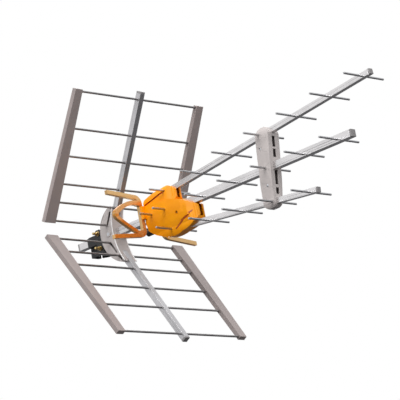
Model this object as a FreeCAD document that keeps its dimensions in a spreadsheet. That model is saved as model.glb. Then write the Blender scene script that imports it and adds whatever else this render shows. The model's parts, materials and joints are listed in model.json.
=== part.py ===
"""UHF yagi antenna with three fanned booms, a corner reflector and a tilting mast clamp.

Frame: millimetres, +X is the beam direction, +Z is up, and the origin is the mast's axis at the
height of the main boom's rods.  The antenna itself is symmetric about a vertical plane: every
sub-part is built in that plane's own frame (x = 0 at the reflector's inner rods) and then moved
to the mast's frame by one placement.
"""
import FreeCAD, Part
import math
import os
import Sketcher

doc = FreeCAD.newDocument("antenna")

SIZES = {
    # where the antenna's own frame lies, seen from the mast's axis
    "mast_setback": 78.0,
    "mast_offset": 38.5,
    # round rods
    "rod_dia": 6.0,
    "rod_chamfer": 0.6,
    "director_span": 160.0,
    "director_pitch": 120.0,
    # booms; the rods run a little below the middle of each boom
    "rod_drop": 2.0,
    "main_size": 20.0,
    "main_wall": 1.2,
    "main_tail": 130.0,
    "main_front": 870.0,
    "main_first_rod": 225.8,
    "dipole_director_x": 177.0,
    "fan_size": 15.0,
    "fan_wall": 1.0,
    "fan_tip": 22.0,
    "upper_fan_angle": 6.27,
    "upper_fan_x": 227.1,
    "upper_fan_z": 52.5,
    "upper_fan_back": 76.0,
    "lower_fan_angle": 5.85,
    "lower_fan_x": 226.3,
    "lower_fan_z": 54.2,
    "lower_fan_back": 44.0,
    "cap_plug": 14.0,
    "cap_flange": 5.0,
    # dipole
    "dipole_front": 149.0,
    "dipole_depth": 10.0,
    "dipole_wall": 1.5,
    "screw_dia": 4.0,
    # plastic shells
    "shell_wall": 2.6,
    "body_screw_x": 264.0,
    "body_screw_z": -20.0,
    "strut_x": 584.0,
    "strut_lean": 11.0,
    "strut_half_width": 22.0,
    "strut_depth": 45.0,
    "strut_top": 110.0,
    "strut_bottom": 106.0,
    "strut_screw_upper": 53.0,
    "strut_screw_lower": 47.0,
    # reflector
    "reflector_width": 500.0,
    "reflector_tilt": 30.0,
    "reflector_foot": 25.1,
    "reflector_step": 50.9,
    "reflector_mast_size": 17.0,
    "reflector_mast_wall": 1.2,
    "reflector_mast_inner": 9.0,
    "reflector_mast_outer": 374.0,
    "panel_travel": 30.0,
    "cover_inner_edge": 226.0,
    "cover_outer_edge": 252.0,
    "cover_flare": 266.0,
    "cover_depth": 13.0,
    "cover_wall": 2.0,
    "bracket_half_width": 24.0,
    "slide_gap": 0.3,
    # mast clamp
    "mast_dia": 40.0,
    "clamp_length": 60.0,
    "pivot_x": -49.0,
    "pivot_z": 16.5,
    "bolt_gap": 42.0,
    "bolt_dia": 6.0,
    "tilt_limit": 8.0,
    "sleeve_back": 96.0,
    "sleeve_front": 36.0,
    "sleeve_half_width": 14.0,
    "clamp_bottom": 34.0,
    "tilt_plate": 2.5,
    "face_gap": 0.3,
    "plate": 4.0,
    "washer": 1.6,
    "jaw_pin_x": 108.0,
    # coax inlet
    "inlet_z": 34.0,
    "inlet_radius": 4.7,
    "inlet_collar": 5.6,
    "inlet_collar_back": 146.0,
    "inlet_tip": 132.0,
    "board_back": 157.0,
    "boot_radius": 9.5,
}


def fill_sheet():
    """Keep the driving dimensions in a spreadsheet."""
    sheet = doc.addObject("Spreadsheet::Sheet", "sizes")
    for row, (alias, value) in enumerate(SIZES.items(), start=1):
        sheet.set("A%d" % row, alias)
        sheet.set("B%d" % row, str(value))
        sheet.setAlias("B%d" % row, alias)
    doc.recompute()
    return sheet


sheet = fill_sheet()


def size(alias):
    return float(sheet.get(alias))


def bind(obj, prop, value):
    """Bind a property to an expression over the sheet's cells, or set a plain number."""
    if isinstance(value, str):
        obj.setExpression(prop, value)
    else:
        obj.setExpression(prop, repr(float(value)))


def put(obj, x=0.0, y=0.0, z=0.0, axis=None, angle=0.0):
    """Place an object; the position and the angle may be expressions."""
    if axis is not None:
        obj.Placement = FreeCAD.Placement(FreeCAD.Vector(), FreeCAD.Rotation(FreeCAD.Vector(*axis), 1.0))
        bind(obj, "Placement.Rotation.Angle", angle)
    bind(obj, "Placement.Base.x", x)
    bind(obj, "Placement.Base.y", y)
    bind(obj, "Placement.Base.z", z)
    return obj


AXIS_X = (1.0, 1.0, 1.0)
AXIS_Y = (-1.0, 0.0, 0.0)


def block(x, y, z, length, width, height, **turn):
    """A box from its low corner."""
    obj = doc.addObject("Part::Box", "block")
    bind(obj, "Length", length)
    bind(obj, "Width", width)
    bind(obj, "Height", height)
    return put(obj, x, y, z, **turn)


def rod(radius, height, x, y, z, axis=None, angle=90.0):
    """A cylinder from the centre of its base, along Z or turned onto another axis."""
    obj = doc.addObject("Part::Cylinder", "rod")
    bind(obj, "Radius", radius)
    bind(obj, "Height", height)
    return put(obj, x, y, z, axis=axis, angle=angle)


def cross_rod(radius, height, x, y, z):
    """A cylinder along +Y."""
    return rod(radius, height, x, y, z, axis=AXIS_Y, angle=90.0)


def long_rod(radius, height, x, y, z):
    """A cylinder along +X."""
    return rod(radius, height, x, y, z, axis=AXIS_X, angle=120.0)


def cut(base, *tools):
    for tool in tools:
        result = doc.addObject("Part::Cut", "cut")
        result.Base = base
        result.Tool = tool
        base = result
    return base


def fuse(*shapes):
    result = doc.addObject("Part::MultiFuse", "fuse")
    result.Shapes = list(shapes)
    return result


def common(first, second):
    result = doc.addObject("Part::Common", "common")
    result.Base = first
    result.Tool = second
    return result


def group(*shapes):
    result = doc.addObject("Part::Compound", "group")
    result.Links = list(shapes)
    return result


def value_of(term):
    """The number behind an outline's term: a plain number, an alias or a negated alias."""
    if not isinstance(term, str):
        return float(term)
    if term.startswith("-"):
        return -size(term[1:])
    return size(term)


def datum_expression(term):
    """The expression that ties an outline's term to the sheet."""
    if term.startswith("-"):
        return "-sizes." + term[1:]
    return "sizes." + term


PLANES = {
    "XZ": FreeCAD.Rotation(FreeCAD.Vector(1, 0, 0), 90.0),
    "YZ": FreeCAD.Rotation(FreeCAD.Vector(1, 1, 1), 120.0),
    "XY": FreeCAD.Rotation(),
}


def outline(plane, corners):
    """A closed sketch; each corner is (first, second) or (first, second, bulge).

    The bulge bends the stretch to the next corner: its sagitta over its chord, positive to the left.
    """
    sketch = doc.addObject("Sketcher::SketchObject", "outline")
    sketch.Placement = FreeCAD.Placement(FreeCAD.Vector(), PLANES[plane])
    points = [FreeCAD.Vector(value_of(c[0]), value_of(c[1]), 0) for c in corners]
    count = len(corners)
    ends = []
    for index, corner in enumerate(corners):
        start = points[index]
        end = points[(index + 1) % count]
        bulge = corner[2] if len(corner) > 2 else 0.0
        if bulge == 0.0:
            sketch.addGeometry(Part.LineSegment(start, end))
            ends.append((1, 2))
            continue
        chord = end - start
        left = FreeCAD.Vector(-chord.y, chord.x, 0)
        arc = Part.Arc(start, (start + end) * 0.5 + left * bulge, end)
        sketch.addGeometry(arc)
        ends.append((2, 1) if bulge > 0 else (1, 2))
    for index, corner in enumerate(corners):
        following = (index + 1) % count
        sketch.addConstraint(
            Sketcher.Constraint("Coincident", index, ends[index][1], following, ends[following][0]))
    for index, corner in enumerate(corners):
        for kind, term in (("DistanceX", corner[0]), ("DistanceY", corner[1])):
            number = sketch.addConstraint(
                Sketcher.Constraint(kind, -1, 1, index, ends[index][0], value_of(term)))
            if isinstance(term, str):
                sketch.setExpression("Constraints[%d]" % number, datum_expression(term))
    return sketch


DIRECTIONS = {"XZ": (0, 1, 0), "YZ": (1, 0, 0), "XY": (0, 0, 1)}


def extrude(sketch, plane, forward, backward=0.0):
    """Extrude an outline along the positive axis by `forward` and the other way by `backward`."""
    solid = doc.addObject("Part::Extrusion", "extrusion")
    solid.Base = sketch
    solid.DirMode = "Custom"
    solid.Dir = FreeCAD.Vector(*DIRECTIONS[plane])
    solid.Solid = True
    bind(solid, "LengthFwd", forward)
    bind(solid, "LengthRev", backward)
    return solid


def inset(sketch, amount):
    """The same outline moved inwards."""
    result = doc.addObject("Part::Offset2D", "inset")
    result.Source = sketch
    bind(result, "Value", amount)
    return result


NODES = []


def node(name, solid, **turn):
    """Name a sub-part and move it from the antenna's own frame to the mast's frame."""
    solid = group(solid)
    solid.Label = name
    put(solid, "sizes.mast_setback", "-sizes.mast_offset", 0.0, **turn)
    NODES.append(solid)
    return solid


# ---------------------------------------------------------------- booms and directors

def square_tube(size_name, wall_name, x, z, length):
    """A hollow square tube along +X, centred on y = 0 and z."""
    outer = block(x, "-%s / 2" % size_name, "%s - %s / 2" % (z, size_name), length, size_name, size_name)
    bore_size = "%s - 2 * %s" % (size_name, wall_name)
    bore = block(x, "-(%s) / 2" % bore_size, "%s - (%s) / 2" % (z, bore_size), length, bore_size, bore_size)
    return cut(outer, bore)


def director(x, z="0"):
    """One round rod across the boom with chamfered ends."""
    solid = cross_rod("sizes.rod_dia / 2", "sizes.director_span", x, "-sizes.director_span / 2", z)
    return chamfer_ends(solid)


def chamfer_ends(solid):
    """Break the two end edges of a rod."""
    result = doc.addObject("Part::Chamfer", "chamfer")
    result.Base = solid
    doc.recompute()
    rims = [i + 1 for i, e in enumerate(solid.Shape.Edges)
            if e.Closed and e.Curve.TypeId == "Part::GeomCircle"]
    result.Edges = [(rim, size("rod_chamfer"), size("rod_chamfer")) for rim in rims]
    return result


def rod_hole(x, z="0"):
    return cross_rod("sizes.rod_dia / 2", "sizes.main_size * 2", x, "-sizes.main_size", z)


def pitch_steps(first, count):
    """Expressions for a row of rods from `first` at the directors' pitch."""
    return ["%s + %d * sizes.director_pitch" % (first, step) for step in range(count)]


def end_cap(name, size_name, wall_name, x, z, place):
    """A plug inside the tube's end with a flange over it."""
    plug_size = "%s - 2 * %s" % (size_name, wall_name)
    plug = block("%s - sizes.cap_plug" % x, "-(%s) / 2" % plug_size, "%s - (%s) / 2" % (z, plug_size),
                 "sizes.cap_plug + 1", plug_size, plug_size)
    flange = block(x, "-%s / 2" % size_name, "%s - %s / 2" % (z, size_name),
                   "sizes.cap_flange", size_name, size_name)
    return place(name, fuse(plug, flange))


def make_main_boom():
    rods = ["sizes.dipole_director_x"] + pitch_steps("sizes.main_first_rod", 6)
    tube = square_tube("sizes.main_size", "sizes.main_wall", "-sizes.main_tail", "sizes.rod_drop",
                       "sizes.main_tail + sizes.main_front")
    bolt_hole = cross_rod("sizes.bolt_dia / 2", "sizes.main_size * 2", 0.0, "-sizes.main_size", 0.0)
    node("main_boom", cut(tube, bolt_hole, group(*[rod_hole(x) for x in rods])))
    node("middle_directors", group(*[director(x) for x in rods[1:]]))
    node("dipole_director", director(rods[0]))
    end_cap("middle_boom_cap", "sizes.main_size", "sizes.main_wall", "sizes.main_front",
            "sizes.rod_drop", node)
    tail_cap = end_cap("tail_cap", "sizes.main_size", "sizes.main_wall", "sizes.main_tail",
                       "-sizes.rod_drop", node)
    # the plug is built facing +X, so the tail's cap is the same piece turned half a turn about Y
    put(tail_cap, "sizes.mast_setback", "-sizes.mast_offset", 0.0, axis=(0, 1, 0), angle=180.0)


def make_fan_boom(prefix, angle, first_x, first_z, back, count, rise):
    """A boom that leaves the body at an angle; rods are set out along it from its first rod."""
    def place(name, solid):
        solid = group(solid)
        solid.Label = name
        put(solid, "sizes.mast_setback + %s" % first_x, "-sizes.mast_offset", first_z,
            axis=(0, -rise, 0), angle=angle)
        NODES.append(solid)
        return solid

    last = "%d * sizes.director_pitch + sizes.fan_tip" % (count - 1)
    rods = pitch_steps("0", count)
    tube = square_tube("sizes.fan_size", "sizes.fan_wall", "-%s" % back, "sizes.rod_drop",
                       "%s + %s" % (back, last))
    place(prefix + "_boom", cut(tube, group(*[rod_hole(x) for x in rods])))
    place(prefix + "_directors", group(*[director(x) for x in rods]))
    end_cap(prefix + "_boom_cap", "sizes.fan_size", "sizes.fan_wall", last, "sizes.rod_drop", place)


# ---------------------------------------------------------------- plastic shells

def halves(name, whole, *tools):
    """Split a shell at the plane of symmetry, then cut each half; left is +Y."""
    for side, low in (("left", -100.0), ("right", 0.0)):
        other_side = block(-200.0, low, -400.0, 1400.0, 100.0, 800.0)
        node("%s_%s_shell" % (name, side), cut(whole, other_side, *tools))


def crowned(side_outline, front_outline, plan_outline=None):
    """The space inside a side outline, a front outline and, where given, a plan outline at once."""
    slab = extrude(side_outline, "XZ", 100.0, 100.0)
    bar = extrude(front_outline, "YZ", 1000.0, 100.0)
    solid = common(slab, bar)
    if plan_outline is None:
        return solid
    return common(solid, extrude(plan_outline, "XY", 200.0, 200.0))


def shell_pair(*outlines):
    """A crowned solid and the same solid one wall smaller."""
    return crowned(*outlines), crowned(*[inset(o, "-sizes.shell_wall") for o in outlines])


def fan_block(angle, first_x, first_z, rise, x, length, width, height, drop):
    """A box along one of the fanned booms, for the channel that holds it."""
    solid = block(x, "-(%s) / 2" % width, drop, length, width, height)
    return put(group(solid), first_x, 0.0, first_z, axis=(0, -rise, 0), angle=angle)


def boom_channels():
    """The space that the three booms take inside a shell."""
    half = "sizes.fan_size / 2"
    upper = fan_block("sizes.upper_fan_angle", "sizes.upper_fan_x", "sizes.upper_fan_z", 1,
                      "-sizes.upper_fan_back", 900.0, "sizes.fan_size", "sizes.fan_size",
                      "sizes.rod_drop - %s" % half)
    lower = fan_block("sizes.lower_fan_angle", "sizes.lower_fan_x", "-sizes.lower_fan_z", -1,
                      "-sizes.lower_fan_back", 700.0, "sizes.fan_size", "sizes.fan_size",
                      "sizes.rod_drop - %s" % half)
    middle = block(-150.0, "-sizes.main_size / 2", "sizes.rod_drop - sizes.main_size / 2",
                   1100.0, "sizes.main_size", "sizes.main_size")
    return [upper, middle, lower]


def director_holes():
    """The rods' own space, wherever they cross a shell."""
    middle = ["sizes.dipole_director_x"] + pitch_steps("sizes.main_first_rod", 4)
    rods = [rod_hole_wide(x, "0") for x in middle]
    upper = group(*[rod_hole_wide(x, "0") for x in pitch_steps("0", 4)])
    put(upper, "sizes.upper_fan_x", 0.0, "sizes.upper_fan_z", axis=(0, -1, 0), angle="sizes.upper_fan_angle")
    lower = group(*[rod_hole_wide(x, "0") for x in pitch_steps("0", 4)])
    put(lower, "sizes.lower_fan_x", 0.0, "-sizes.lower_fan_z", axis=(0, 1, 0), angle="sizes.lower_fan_angle")
    return rods + [upper, lower]


def rod_hole_wide(x, z):
    return cross_rod("sizes.rod_dia / 2", "sizes.director_span", x, "-sizes.director_span / 2", z)


LOWER_LOBE_SIDE = [
    (150, -38, -0.07), (186, -63, -0.1), (262, -69, -0.06), (308, -57, -0.16), (327, -42, -0.08),
    (327, -23, -0.2), (313, -8, -0.05), (262, 19, 0.0), (236, 26, 0.0), (150, 30, 0.0),
]
LOWER_LOBE_PLAN = [
    (148, -31, -0.07), (200, -34, -0.1), (315, -17, -0.25), (327, -6, 0.0), (327, 6, -0.25),
    (315, 17, -0.1), (200, 34, -0.07), (148, 31, 0.0),
]
LOWER_LOBE_FRONT = [
    (-9, -78, 0.0), (9, -78, -0.08), (20, -52, -0.05), (33, -2, -0.03), (30, 42, 0.0), (-30, 42, -0.03),
    (-33, -2, -0.05), (-20, -52, -0.08),
]
UPPER_LOBE_SIDE = [
    (150, 6, 0.0), (236, 6, 0.0), (254, 24, -0.25), (249, 57, -0.18), (218, 64, -0.04), (158, 50, -0.2),
    (148, 38, 0.0),
]
UPPER_LOBE_PLAN = [
    (148, -27, 0.0), (208, -26, -0.1), (248, -17, -0.25), (257, -7, 0.0), (257, 7, -0.25),
    (248, 17, -0.1), (208, 26, 0.0), (148, 27, 0.0),
]
UPPER_LOBE_FRONT = [
    (-28, 0, 0.0), (28, 0, -0.03), (26, 46, -0.14), (14, 68, 0.0), (-14, 68, -0.14), (-26, 46, -0.03),
]


def make_body():
    """The clip-together body that holds the dipole, the balun and the three booms."""
    lower, lower_space = shell_pair(outline("XZ", LOWER_LOBE_SIDE), outline("YZ", LOWER_LOBE_FRONT),
                                    outline("XY", LOWER_LOBE_PLAN))
    upper, upper_space = shell_pair(outline("XZ", UPPER_LOBE_SIDE), outline("YZ", UPPER_LOBE_FRONT),
                                    outline("XY", UPPER_LOBE_PLAN))
    outer = fuse(lower, upper, dipole_flange())
    inner = fuse(lower_space, upper_space)
    ribs = group(block(240.0, -30.0, -80.0, 2.0, 60.0, 120.0), block(206.0, -30.0, -80.0, 2.0, 60.0, 150.0))
    post = cross_rod(6.0, 64.0, "sizes.body_screw_x", -32.0, "sizes.body_screw_z")
    hollow = cut(inner, ribs, post)
    slots = [
        block(236.0, -6.0, 27.0, 40.0, 12.0, 24.0),
        block(306.0, -7.0, -46.0, 40.0, 14.0, 34.0),
    ]
    head = cross_rod(4.2, 12.0, "sizes.body_screw_x", -36.0, "sizes.body_screw_z")
    screw = cross_rod("sizes.screw_dia / 2", 80.0, "sizes.body_screw_x", -40.0, "sizes.body_screw_z")
    inlet = long_rod("sizes.inlet_collar + 0.3", 30.0, 140.0, 0.0, "-sizes.inlet_z")
    halves("body", outer, hollow, *slots, head, screw, inlet, *side_grooves(),
           *boom_channels(), *director_holes(), *dipole_screw_holes())


def side_grooves():
    """Two embossed grooves on each side of the body, in line with its two lobes."""
    result = []
    for x, z, length in ((150.0, 33.0, 84.0), (248.0, -50.0, 78.0)):
        for y in (-36.0, 23.0):
            groove = block(0.0, y, -2.6, length, 13.0, 5.2)
            result.append(put(group(groove), x, 0.0, z, axis=(0, -1, 0), angle=13.4))
    return result


# ---------------------------------------------------------------- dipole and balun

# one wing in its own plane (y, z): the open outer strip and the inner loop that closes on it
OUTER_STRIP = [
    (161, 59, 0.0), (56, 51, -0.2), (44, 36, 0.0), (44, -32, -0.2), (56, -45, 0.0), (161, -55, 0.0),
    (161, -66, 0.0), (54, -56, 0.2), (33, -36, 0.0), (33, 40, 0.2), (54, 63, 0.0), (161, 70, 0.0),
]
INNER_LOOP = [
    (41, 48, 0.0), (58, 48, 0.07), (137, 18, 0.3), (139, -10, 0.02), (58, -50, 0.0), (41, -48, 0.0),
]
LOOP_WINDOW = [
    (45, 33, 0.0), (64, 35, 0.07), (127, 9, 0.3), (128, -4, 0.02), (62, -38, 0.0), (45, -36, 0.0),
]
DIPOLE_SCREW = (38.0, 9.0)


def mirrored_corners(corners):
    """The same outline on the other side of the plane of symmetry."""
    turned = []
    count = len(corners)
    for index in range(count):
        corner = corners[-index % count]
        previous = corners[(-index - 1) % count]
        turned.append((-corner[0], corner[1], previous[2]))
    return turned


def channel(corners, back, depth, wall):
    """A pressed channel: its front is closed and its rear is open."""
    sketch = outline("YZ", corners)
    solid = put(group(extrude(sketch, "YZ", depth)), back, 0.0, 0.0)
    hollow = put(group(extrude(inset(sketch, "-" + wall), "YZ", depth)), "%s - %s" % (back, wall), 0.0, 0.0)
    return solid, hollow


def make_dipole_wing(name, corners_of):
    back = "sizes.dipole_front - sizes.dipole_depth"
    sign = 1.0 if name == "left_dipole" else -1.0
    strip, strip_hollow = channel(corners_of(OUTER_STRIP), back, "sizes.dipole_depth", "sizes.dipole_wall")
    loop = outline("YZ", corners_of(INNER_LOOP))
    window = outline("YZ", corners_of(LOOP_WINDOW))
    ring = cut(extrude(loop, "YZ", "sizes.dipole_depth"), extrude(window, "YZ", "sizes.dipole_depth"))
    ring = put(group(ring), back, 0.0, 0.0)
    ring_hollow = cut(extrude(inset(loop, "-sizes.dipole_wall"), "YZ", "sizes.dipole_depth"),
                      extrude(inset(window, "sizes.dipole_wall"), "YZ", "sizes.dipole_depth"))
    ring_hollow = put(group(ring_hollow), "%s - sizes.dipole_wall" % back, 0.0, 0.0)
    solid = cut(fuse(strip, ring), strip_hollow, ring_hollow)
    hole = long_rod("sizes.screw_dia / 2", 40.0, 120.0, sign * DIPOLE_SCREW[0], DIPOLE_SCREW[1])
    node(name, cut(solid, hole))


def dipole_screw_holes():
    radius = "sizes.screw_dia / 2"
    return [long_rod(radius, 12.0, "sizes.dipole_front - 2", sign * DIPOLE_SCREW[0], DIPOLE_SCREW[1])
            for sign in (-1.0, 1.0)]


def dipole_flange():
    """The ears at the body's rear that the dipole's wings are screwed to."""
    return block("sizes.dipole_front", -44.0, -6.0, 8.0, 88.0, 36.0)


def make_dipole_screws():
    """A pan-head screw through each wing into the body's ear."""
    screws = []
    for sign in (-1.0, 1.0):
        y = sign * DIPOLE_SCREW[0]
        shank = long_rod("sizes.screw_dia / 2", 22.0, 136.0, y, DIPOLE_SCREW[1])
        head = long_rod(3.3, 11.5, "sizes.dipole_front - sizes.dipole_wall - 11.5", y, DIPOLE_SCREW[1])
        screws.append(fuse(shank, head))
    node("dipole_screws", group(*screws))


def make_balun():
    board = block("sizes.board_back", -17.0, "-sizes.inlet_z - 0.8", 48.0, 34.0, 1.6)
    node("balun_board", board)
    can_outer = block(164.0, -15.0, "-sizes.inlet_z + 0.8", 42.0, 30.0, 18.0)
    can_inner = block(164.6, -14.4, "-sizes.inlet_z + 0.8", 40.8, 28.8, 17.4)
    node("shield_can", cut(can_outer, can_inner))
    thread = long_rod("sizes.inlet_radius", "sizes.inlet_collar_back - sizes.inlet_tip", "sizes.inlet_tip",
                      0.0, "-sizes.inlet_z")
    collar = long_rod("sizes.inlet_collar", "sizes.board_back - sizes.inlet_collar_back",
                      "sizes.inlet_collar_back", 0.0, "-sizes.inlet_z")
    socket = long_rod(2.4, 8.0, "sizes.inlet_tip", 0.0, "-sizes.inlet_z")
    flange = block(154.6, -7.0, "-sizes.inlet_z - 5", 2.4, 14.0, 12.0)
    node("coax_inlet", cut(fuse(thread, collar, flange), socket))
    boot = long_rod("sizes.boot_radius", 28.0, 122.0, 0.0, "-sizes.inlet_z")
    boot_bore = long_rod("sizes.boot_radius - 2", "sizes.inlet_collar_back - 122", 122.0, 0.0,
                         "-sizes.inlet_z")
    collar_bore = long_rod("sizes.inlet_collar", 40.0, 120.0, 0.0, "-sizes.inlet_z")
    node("weather_boot", cut(boot, boot_bore, collar_bore))


def make_body_screw():
    head = cross_rod(4.0, 3.0, "sizes.body_screw_x", -27.0, "sizes.body_screw_z")
    shank = cross_rod("sizes.screw_dia / 2", 44.0, "sizes.body_screw_x", -24.0, "sizes.body_screw_z")
    node("body_screw", fuse(head, shank))


# ---------------------------------------------------------------- boom strut

def make_strut():
    """Two shells that clamp the three booms half way along."""
    half = size("strut_depth") / 2
    middle = size("strut_x")
    top = size("strut_top")
    bottom = -size("strut_bottom")
    lean = size("strut_lean")
    foot = middle - lean
    crest = middle + lean
    side = outline("XZ", [
        (foot - half + 3, bottom + 14, -0.15), (foot - half + 13, bottom, 0.0),
        (foot + half - 13, bottom, -0.15), (foot + half - 3, bottom + 14, 0.0),
        (crest + half, top - 22, -0.15), (crest + half - 16, top, -0.02),
        (crest - half + 16, top, -0.15), (crest - half, top - 22, 0.0),
    ])
    width = size("strut_half_width")
    front = outline("YZ", [
        (-10, bottom, 0.0), (10, bottom, -0.1), (width - 5, bottom + 24, -0.02), (width - 1, 0, -0.01),
        (width, 75, -0.1), (13, top, 0.0), (-13, top, -0.1), (-width, 75, -0.01), (1 - width, 0, -0.02),
        (5 - width, bottom + 24, -0.1),
    ])
    outer = crowned(side, front)
    inner = crowned(inset(side, "-sizes.shell_wall"), inset(front, "-sizes.shell_wall"))
    posts = [cross_rod(5.0, 60.0, "sizes.strut_x - 2", -30.0, z)
             for z in ("sizes.strut_screw_upper", "-sizes.strut_screw_lower")]
    hollow = cut(inner, *posts)
    slots = [block(middle + 6 + 0.1 * low, -6.0, low, half + 6, 12.0, high - low)
             for low, high in ((52.0, 81.0), (25.0, 47.0), (-47.0, -9.0), (-72.0, -55.0))]
    screw_cuts = []
    for z in ("sizes.strut_screw_upper", "-sizes.strut_screw_lower"):
        screw_cuts.append(cross_rod("sizes.screw_dia / 2", 80.0, "sizes.strut_x - 2", -40.0, z))
        screw_cuts.append(cross_rod(3.4, 22.0, "sizes.strut_x - 2", -40.0, z))
    halves("strut", outer, hollow, *slots, *screw_cuts, *boom_channels(), *director_holes())
    screws = []
    for z in ("sizes.strut_screw_upper", "-sizes.strut_screw_lower"):
        head = cross_rod(3.3, 2.5, "sizes.strut_x - 2", -20.5, z)
        shank = cross_rod("sizes.screw_dia / 2", 32.0, "sizes.strut_x - 2", -18.0, z)
        screws.append(fuse(head, shank))
    node("strut_screws", group(*screws))


# ---------------------------------------------------------------- reflector

PANEL_RODS = (0.0, 1.0, 2.0, 3.5, 5.0, 7.0)
PANELS = (("upper", 1), ("lower", -1))


def panel_place(name, solid, rise):
    """Move a piece from its panel's frame (X along the mast tube, Z off the panel) into place."""
    solid = group(solid)
    solid.Label = name
    put(solid, "sizes.mast_setback", "-sizes.mast_offset", "%d * sizes.reflector_foot" % rise,
        axis=(0, -rise, 0), angle="90 - sizes.reflector_tilt")
    NODES.append(solid)
    return solid


def panel_rods():
    return ["%s * sizes.reflector_step" % step for step in PANEL_RODS]


def make_panel(side, rise):
    length = "sizes.reflector_mast_inner + sizes.reflector_mast_outer"
    tube = square_tube("sizes.reflector_mast_size", "sizes.reflector_mast_wall",
                       "-sizes.reflector_mast_inner", "0", length)
    panel_place(side + "_reflector_mast", cut(tube, group(*[rod_hole(x) for x in panel_rods()])), rise)
    rods = []
    for x in panel_rods():
        bar = cross_rod("sizes.rod_dia / 2", "sizes.reflector_width", x, "-sizes.reflector_width / 2", 0.0)
        rods.append(chamfer_ends(bar))
    panel_place(side + "_reflector_rods", group(*rods), rise)
    end_cap(side + "_mast_cap", "sizes.reflector_mast_size", "sizes.reflector_mast_wall",
            "sizes.reflector_mast_outer", "0", lambda name, solid: panel_place(name, solid, rise))
    for hand, sign in (("left", 1), ("right", -1)):
        make_cover("%s_%s_cover" % (side, hand), sign, rise)


def make_cover(name, sign, rise):
    """The tapered plastic rail that the rods' ends sit in."""
    inner_edge = size("cover_inner_edge") * sign
    outer_edge = size("cover_outer_edge") * sign
    flare = size("cover_flare") * sign
    last = PANEL_RODS[-1] * size("reflector_step")
    corners = [(-6, inner_edge), (last + 6, inner_edge), (last + 6, outer_edge), (-6, flare)]
    side = outline("XY", corners)
    depth = "sizes.cover_depth"
    solid = put(group(extrude(side, "XY", depth)), 0.0, 0.0, "-sizes.cover_depth / 2")
    room = "sizes.cover_depth - 2 * sizes.cover_wall"
    hollow = put(group(extrude(inset(side, "-sizes.cover_wall"), "XY", room)),
                 0.0, 0.0, "sizes.cover_wall - sizes.cover_depth / 2")
    holes = [cross_rod("sizes.rod_dia / 2", "sizes.reflector_width", x, "-sizes.reflector_width / 2", 0.0)
             for x in panel_rods()]
    panel_place(name, cut(solid, hollow, *holes), rise)


BRACKET_SIDE = [
    (20, 75, -0.173), (-31, -3, -0.16), (35, -90, 0.0), (42, -88, 0.11), (28, 72, 0.0),
]
RACK_CENTRE = (44.7, -3.0)
RACK_RADIUS = 77.0
RACK_TEETH = 9


def panel_box(rise, x, y, z, length, width, height):
    """A box in a panel's frame, used where the bracket meets the panel."""
    solid = group(block(x, y, z, length, width, height))
    return put(solid, 0.0, 0.0, "%d * sizes.reflector_foot" % rise, axis=(0, -rise, 0),
               angle="90 - sizes.reflector_tilt")


def rod_slot(rise, start, end):
    """The slot that lets one of the panel's rods travel with the panel."""
    radius = "sizes.rod_dia / 2 + sizes.slide_gap"
    rounded = [cross_rod(radius, 100.0, x, -50.0, 0.0) for x in (start, end)]
    flat = block(start, -50.0, "-(%s)" % radius, "(%s) - (%s)" % (end, start), 100.0, "2 * (%s)" % radius)
    return put(group(fuse(flat, *rounded)), 0.0, 0.0, "%d * sizes.reflector_foot" % rise,
               axis=(0, -rise, 0), angle="90 - sizes.reflector_tilt")


def rack_notches():
    """The row of notches on the bracket's rear rim."""
    notches = []
    for tooth in range(RACK_TEETH):
        angle = math.radians(132.0 + 2.6 * tooth)
        x = RACK_CENTRE[0] + RACK_RADIUS * math.cos(angle)
        z = RACK_CENTRE[1] + RACK_RADIUS * math.sin(angle)
        notches.append(cross_rod(1.3, 60.0, x, -30.0, z))
    return group(*notches)


def make_bracket():
    """The crescent that holds the main boom and both reflector masts."""
    side = outline("XZ", BRACKET_SIDE)
    width = "sizes.bracket_half_width"
    outer = extrude(side, "XZ", width, width)
    room = width + " - sizes.shell_wall"
    inner = extrude(inset(side, "-sizes.shell_wall"), "XZ", room, room)
    guide = "sizes.reflector_mast_size / 2 + sizes.slide_gap"
    wall = "(%s + sizes.shell_wall)" % guide
    guides = []
    channels = []
    for _, rise in PANELS:
        start = "-sizes.reflector_mast_inner"
        guides.append(panel_box(rise, start + " - 2", "-" + wall, "-" + wall, 130.0,
                                "2 * " + wall, "2 * " + wall))
        channels.append(panel_box(rise, start + " - sizes.slide_gap", "-(%s)" % guide, "-(%s)" % guide, 160.0,
                                  "2 * (%s)" % guide, "2 * (%s)" % guide))
        channels.append(rod_slot(rise, "0", "sizes.panel_travel + 6"))
        channels.append(rod_slot(rise, "sizes.reflector_step", "sizes.reflector_step + 60"))
    boom_guide = block(-60.0, "-sizes.main_size / 2 - sizes.shell_wall",
                       "sizes.rod_drop - sizes.main_size / 2 - 3",
                       160.0, "sizes.main_size + 2 * sizes.shell_wall", "sizes.main_size + 6")
    post = cross_rod(7.0, 60.0, 0.0, -30.0, 0.0)
    hollow = cut(inner, *guides, boom_guide, post)
    boss = cross_rod(8.0, 52.0, 0.0, -26.0, 0.0)
    halves("bracket", fuse(outer, boss), hollow, *channels, boom_channels()[1], rack_notches(),
           cross_rod("sizes.bolt_dia / 2", 80.0, 0.0, -40.0, 0.0), cross_rod(5.0, 8.0, 0.0, -30.0, 0.0))
    head = cross_rod(4.8, 4.0, 0.0, -26.0, 0.0)
    shank = cross_rod("sizes.bolt_dia / 2", 52.0, 0.0, -22.0, 0.0)
    nut = hexagon(5.0, 5.0, 0.0, 26.0, 0.0)
    node("bracket_bolt", fuse(head, shank, nut))


def hexagon(radius, height, x, y, z):
    """A hexagonal prism along +Y."""
    prism = doc.addObject("Part::Prism", "hexagon")
    prism.Polygon = 6
    bind(prism, "Circumradius", radius)
    bind(prism, "Height", height)
    return put(prism, x, y, z, axis=AXIS_Y, angle=90.0)


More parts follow.
